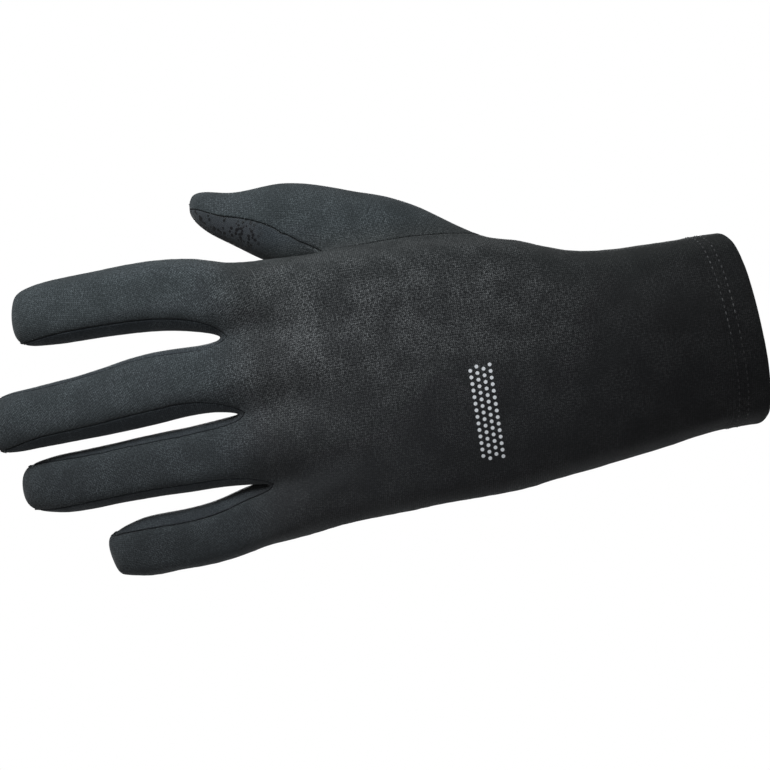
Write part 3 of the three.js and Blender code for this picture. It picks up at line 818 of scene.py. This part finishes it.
def thread(name, pale, deep):
    """Dark thread with painted light: paler towards the thumb side of the cuff, where the light falls.
    """
    material = new_material(name)
    n = Nodes(material.node_tree)
    place = n.add("ShaderNodeTexCoord").outputs["Object"]
    split = n.add("ShaderNodeSeparateXYZ")
    n.put(split.inputs[0], place)
    # Painted light: the thread is made paler towards the top, the thumb side, where the light from
    # above falls, broken up by noise
    thumb_side = n.range(split.outputs["Z"], *THREAD_LIGHT_Z)
    light_breakup = n.range(n.noise(place, 420, 2), 0.35, 0.62, 0.15, 1.0)
    painted_top_light = n.math("MULTIPLY", thumb_side, light_breakup)
    twist = n.add("ShaderNodeTexWave", wave_type="BANDS", bands_direction="DIAGONAL")
    n.put(twist.inputs["Vector"], place)
    n.put(twist.inputs["Scale"], 900)
    n.put(twist.inputs["Distortion"], 2)
    strands = n.range(twist.outputs["Fac"], 0.2, 0.8, 0.6, 1.0)
    base = n.mix(n.math("MULTIPLY", painted_top_light, strands), deep, pale)
    roughness = n.range(twist.outputs["Fac"], 0, 1, 0.75, 0.55)
    finish_shader(n, base, roughness, THREAD_SHINE, twist.outputs["Fac"], THREAD_RELIEF)
    return material


CHARCOAL = (0.0064, 0.0064, 0.0068, 1)
SLATE = (0.0080, 0.0082, 0.0086, 1)
# Painted light: MOSS is the greener, lighter tone painted on the upper side, where the light falls
MOSS = (0.0082, 0.0100, 0.0096, 1)
# Painted light: BLUE and TEAL are the lighter, cooler tones painted on the fingers and the thumb side,
# where the key light falls
BLUE = (0.0088, 0.0108, 0.0130, 1)
TEAL = (0.0094, 0.0114, 0.0124, 1)
# Pale flecks of the knit: partly its own light specks, partly painted glints of light on the loops
FLECK = (0.118, 0.132, 0.140, 1)
WARM_FLECK = (0.142, 0.144, 0.145, 1)
# Painted shade: the near-black mixed into the cloth on its underside, its lower side, the back of the
# hand and along the seams
PAINTED_SHADE_BLACK = (0.0025, 0.0025, 0.003, 1)
WORN_PRINT = (0.16, 0.16, 0.165, 1)
FRESH_PRINT = (0.36, 0.36, 0.37, 1)
RUBBER = (0.002, 0.002, 0.0025, 1)
RUBBER_GROUND = (0.017, 0.018, 0.02, 1)
# Painted light: the thread's colour where it is painted paler towards the top of the cuff
PALE_THREAD = (0.10, 0.10, 0.102, 1)
DEEP_THREAD = (0.008, 0.008, 0.0085, 1)

back_jersey = jersey("back_jersey", CHARCOAL, SLATE, TEAL, dot_print)
palm_jersey = jersey("palm_jersey", CHARCOAL, SLATE, BLUE, grip_print)
side_jersey = jersey("side_jersey", CHARCOAL, SLATE, BLUE)
cuff_jersey = jersey("cuff_jersey", CHARCOAL, SLATE, CHARCOAL)
grey_thread = thread("grey_thread", PALE_THREAD, DEEP_THREAD)

FINISHES = [
    (back, back_jersey, "back_jersey", ["back_panel"]),
    (palm, palm_jersey, "palm_jersey", ["palm_panel"]),
    (thumb, back_jersey, "back_jersey", ["thumb_back"]),
    (strips[0], side_jersey, "side_jersey", ["fourchette_index_middle"]),
    (strips[1], side_jersey, "side_jersey", ["fourchette_middle_ring"]),
    (strips[2], side_jersey, "side_jersey", ["fourchette_ring_little"]),
    (hem, cuff_jersey, "cuff_jersey", ["cuff_hem"]),
    (stitches, grey_thread, "cuff_jersey", []),
    (bound_edges, side_jersey, "side_jersey", []),
]
for piece, material, slot, nodes in FINISHES:
    piece.data.materials.clear()
    piece.data.materials.append(material)
    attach(piece, "root")
    if nodes:
        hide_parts(*nodes)

# The cloth as it was cut


def cut_size(piece, strips_in_it=0):
    """A piece's width, length and area before it was sewn, from its map. The size of a long strip, or
    of several end to end, comes from its area and its outline, which is twice its length and width."""
    bm = bmesh.new()
    bm.from_mesh(piece.data)
    flat = bm.loops.layers.uv["cloth"]
    spots, area = [], 0
    for face in bm.faces:
        corners = [loop[flat].uv * MM for loop in face.loops]
        pairs = zip(corners, corners[1:] + corners[:1])
        area += abs(sum(a.x * b.y - a.y * b.x for a, b in pairs)) / 2
        spots += corners
    outline = sum(edge.calc_length() for edge in bm.edges if edge.is_boundary)
    bm.free()
    if strips_in_it:
        half = outline / 2
        length = (half + math.sqrt(half * half - 4 * strips_in_it * area)) / 2
        return (area / length, length), area
    width = max(spot.y for spot in spots) - min(spot.y for spot in spots)
    length = max(spot.x for spot in spots) - min(spot.x for spot in spots)
    return (width, length), area


for piece, sewn_to in (
    (back, [palm]),
    (palm, [back]),
    (thumb, [back, palm]),
    (strips[0], [back, palm]),
    (strips[1], [back, palm]),
    (strips[2], [back, palm]),
    (hem, [back, palm]),
):
    flat_size, flat_area = cut_size(piece, 2 if piece is hem else int(piece in strips))

# Room, light and camera


LIGHTS = {
    "key": {
        "place": (-0.38, -0.4, 0.54),
        "aim": (-0.2, 0, 0.06),  # the fingers
        "size": 0.26,
        "power": 0.66,
        "colour": (0.9, 0.97, 1),
        "spread": 34,
    },
    "fill": {
        "place": (-0.24, -0.46, -0.23),
        "aim": (-0.16, 0, -0.048),  # the little finger
        "size": 0.2,
        "power": 0.055,
        "colour": (0.9, 0.96, 1),
        "spread": 26,
    },
    "palm_light": {
        "place": (-0.16, 0.75, 0.12),
        "aim": (-0.13, 0, 0.01),  # the middle of the palm
        "size": 0.35,
        "power": 1.4,
        "colour": (0.95, 0.98, 1),
        "spread": 50,
    },
}
FLOOR_MIDDLE = (-0.13, 0, -0.28)
FLOOR_RADIUS = 0.5
PAPER = (0.9, 0.9, 0.9, 1)
WHITE = (1, 1, 1, 1)
SKY_LIGHT = 0.42  # what lights the glove, while the camera sees plain white
SENSOR_WIDTH = 36
CAMERA_DISTANCE, SEEN_WIDTH = 620, 261.8  # mm, to the hand, and the width seen there
CAMERA_PLACE = (-0.12205, -0.629, -0.00021)
CAMERA_TIP = math.radians(9)


def area_light(name, place, aim, size, power, colour, spread):
    light = bpy.data.lights.new(name, "AREA")
    light.shape = "DISK"
    light.size = size
    light.energy = power
    light.color = colour
    light.spread = math.radians(spread)
    lamp = linked(name, light)
    lamp.location = place
    lamp.rotation_mode = "QUATERNION"
    lamp.rotation_quaternion = (Vector(aim) - Vector(place)).to_track_quat("-Z", "Y")


def paper_floor():
    bm = bmesh.new()
    middle = Matrix.Translation(FLOOR_MIDDLE)
    bmesh.ops.create_circle(bm, cap_ends=True, segments=96, radius=FLOOR_RADIUS, matrix=middle)
    floor = linked("floor", mesh_of(bm, "floor"))
    paper = bpy.data.materials.new("pale_paper")
    paper.use_nodes = True
    given = paper.node_tree.nodes["Principled BSDF"].inputs
    given["Base Color"].default_value = PAPER
    given["Roughness"].default_value = 0.9
    floor.data.materials.append(paper)
    return floor


for name, settings in LIGHTS.items():
    area_light(name, **settings)
paper_floor()

world = bpy.data.worlds.new("studio")
bpy.context.scene.world = world
world.use_nodes = True
sky = Nodes(world.node_tree)
paper_white = world.node_tree.nodes["Background"]
sky.put(paper_white.inputs["Color"], WHITE)
soft_light = sky.add("ShaderNodeBackground")
sky.put(soft_light.inputs["Color"], WHITE)
sky.put(soft_light.inputs["Strength"], SKY_LIGHT)
seen = sky.add("ShaderNodeMixShader")
sky.put(seen.inputs[0], sky.add("ShaderNodeLightPath").outputs["Is Camera Ray"])
sky.put(seen.inputs[1], soft_light.outputs[0])
sky.put(seen.inputs[2], paper_white.outputs[0])
sky.put(world.node_tree.nodes["World Output"].inputs["Surface"], seen.outputs[0])

camera_data = bpy.data.cameras.new("camera")
camera_data.sensor_width = SENSOR_WIDTH
camera_data.lens = SENSOR_WIDTH * CAMERA_DISTANCE / SEEN_WIDTH
camera_data.clip_start = 0.01
camera = linked("camera", camera_data)
right = Vector((math.cos(CAMERA_TIP), 0, -math.sin(CAMERA_TIP)))
up = Vector((math.sin(CAMERA_TIP), 0, math.cos(CAMERA_TIP)))
turned = Matrix((right, up, right.cross(up))).transposed()
camera.matrix_world = Matrix.Translation(CAMERA_PLACE) @ turned.to_4x4()
bpy.context.scene.camera = camera
bpy.context.scene.view_settings.view_transform = "Standard"
